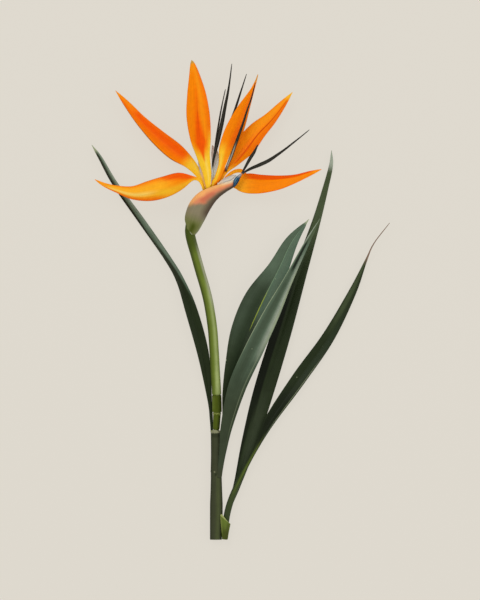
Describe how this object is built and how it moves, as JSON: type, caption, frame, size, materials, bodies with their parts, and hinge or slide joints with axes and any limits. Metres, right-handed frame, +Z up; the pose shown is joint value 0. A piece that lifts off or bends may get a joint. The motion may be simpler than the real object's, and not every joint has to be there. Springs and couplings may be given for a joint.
{
  "type": "bird of paradise flower",
  "caption": "Cut bird of paradise flower lying on its back: orange sepals and dark petals rise from a beak-shaped spathe on a bent stalk, with long pointed leaves beside it.",
  "frame": {"origin": "the middle of the outline seen from above, on the surface that the flower lies on", "axes": "+Y runs from the cut end to the flower head, +X to the right of the bloom seen from above, and +Z up from the surface"},
  "size_m": [0.2812, 0.4502, 0.0444],
  "materials": {
    "stem": "satin",
    "stalk": "satin",
    "bract": "matt",
    "sheath": "satin",
    "spathe": "satin",
    "sepal": "satin",
    "dark_petal": "satin",
    "blue_petal": "satin",
    "pale_petal": "satin",
    "leaf": "satin",
    "leaf_underside": "satin"
  },
  "bodies": {
    "root": {"lower_stem": "stem", "flower_stalk": "stalk", "stalk_bract": "bract", "cut_sheath": "sheath", "spathe": "spathe", "sepal_left_low": "sepal", "sepal_left": "sepal", "sepal_centre": "sepal", "sepal_right_inner": "sepal", "sepal_right": "sepal", "sepal_right_low": "sepal", "petal_dark_centre": "dark_petal", "petal_dark_short": "dark_petal", "petal_dark_back": "dark_petal", "petal_dark_front": "dark_petal", "petal_dark_upright": "dark_petal", "petal_dark_long": "dark_petal", "petal_blue_arrow": "blue_petal", "petal_pale_left": "pale_petal", "petal_pale_middle": "pale_petal", "petal_pale_mouth": "pale_petal", "leaf_left": "leaf", "leaf_broad": "leaf", "leaf_tall": "leaf", "leaf_right": "leaf", "leaf_folded": "leaf_underside"}
  },
  "joints": []
}
